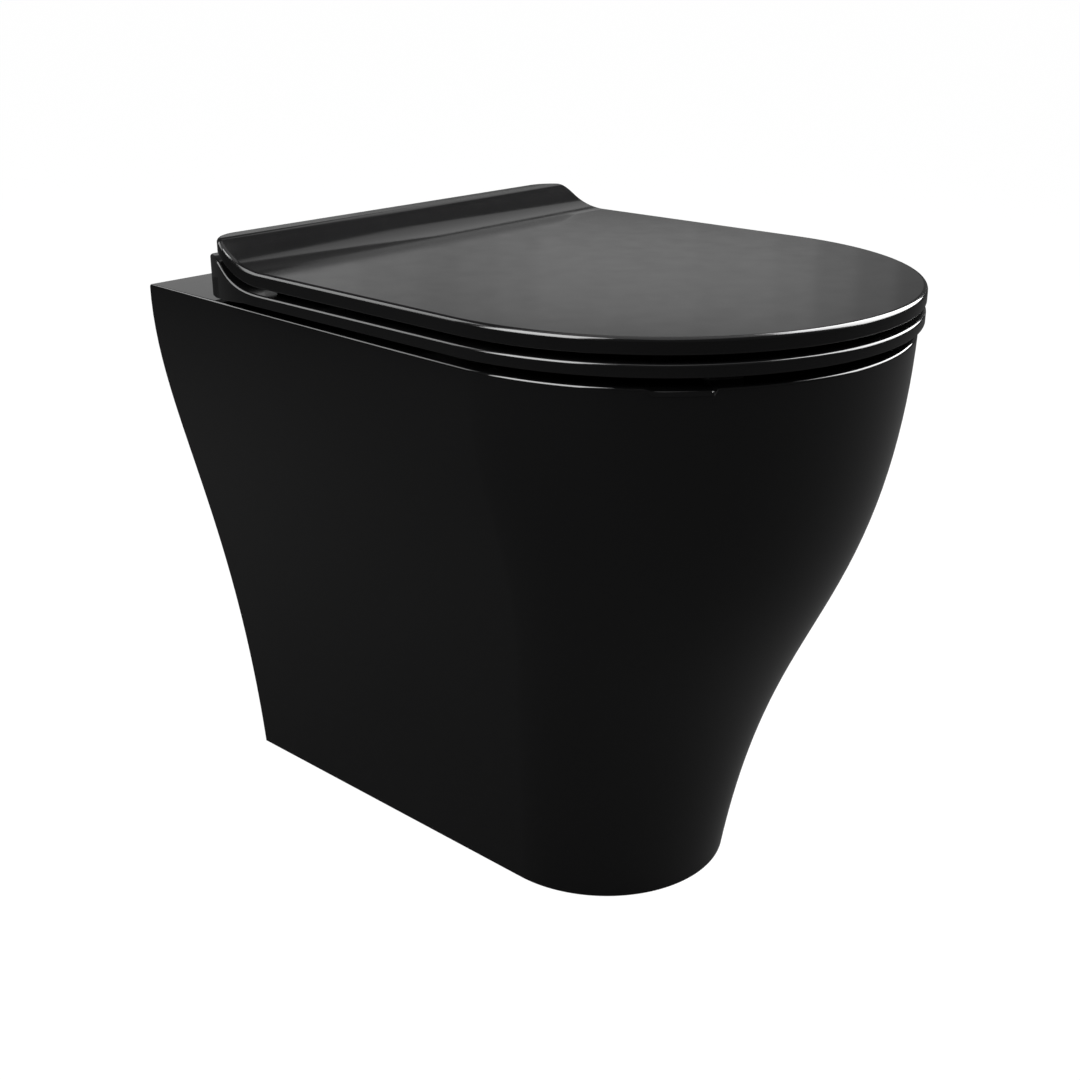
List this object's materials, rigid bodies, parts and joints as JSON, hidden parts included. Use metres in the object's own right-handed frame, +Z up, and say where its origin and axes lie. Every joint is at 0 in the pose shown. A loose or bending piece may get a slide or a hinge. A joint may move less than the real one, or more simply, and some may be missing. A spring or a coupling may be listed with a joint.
{
  "type": "toilet pan",
  "caption": "Back to wall toilet with a D-shaped shrouded ceramic pan, a slim hinged seat ring and a hinged lid with a raised rear ridge.",
  "frame": {"origin": "on the floor under the middle of the outline, halfway between the wall and the nose of the seat", "axes": "+Z up, +Y to the wall, -Y to the front, +X to the right of someone who faces the wall"},
  "size_m": [0.3644, 0.5195, 0.4609],
  "materials": {
    "glaze": "gloss black glaze",
    "seat_plastic": "gloss black, moulded",
    "hinge_metal": "satin black coated zinc",
    "steel": "turned stainless",
    "brass": "turned",
    "seal_rubber": "matt",
    "buffer_rubber": "matt",
    "damper_plastic": "moulded",
    "bracket_plastic": "moulded nylon"
  },
  "bodies": {
    "pan": {"shroud": "glaze", "deck": "glaze", "bowl": "glaze", "trapway": "glaze", "flush_horn": "glaze", "hinge_post_left": "hinge_metal", "hinge_post_right": "hinge_metal", "hinge_plate_left": "hinge_metal", "hinge_plate_right": "hinge_metal", "hinge_pin_left": "steel", "hinge_pin_right": "steel", "hinge_gaskets": "seal_rubber", "seat_bolts": "steel", "top_fix_sleeves": "seal_rubber", "sleeve_nuts": "brass", "flush_inlet_seal": "seal_rubber", "flush_splitter": "bracket_plastic", "floor_bracket_left": "bracket_plastic", "floor_bracket_right": "bracket_plastic", "clamp_screws": "steel", "clamp_washers": "steel"},
    "seat": {"seat_ring": "seat_plastic", "seat_damper": "damper_plastic", "seat_bush": "damper_plastic", "ring_buffers": "buffer_rubber"},
    "lid": {"lid": "seat_plastic", "lid_damper": "damper_plastic", "lid_bush": "damper_plastic", "lid_buffers": "buffer_rubber"}
  },
  "joints": [
    {"name": "seat_hinge", "type": "hinge", "parent": "pan", "child": "seat", "pos_m": [0, 0.1783, 0.4385], "axis": [-1, 0, 0], "range_deg": [0, 91]},
    {"name": "lid_hinge", "type": "hinge", "parent": "seat", "child": "lid", "pos_m": [0, 0.1783, 0.4385], "axis": [-1, 0, 0], "range_deg": [0, 93]}
  ]
}
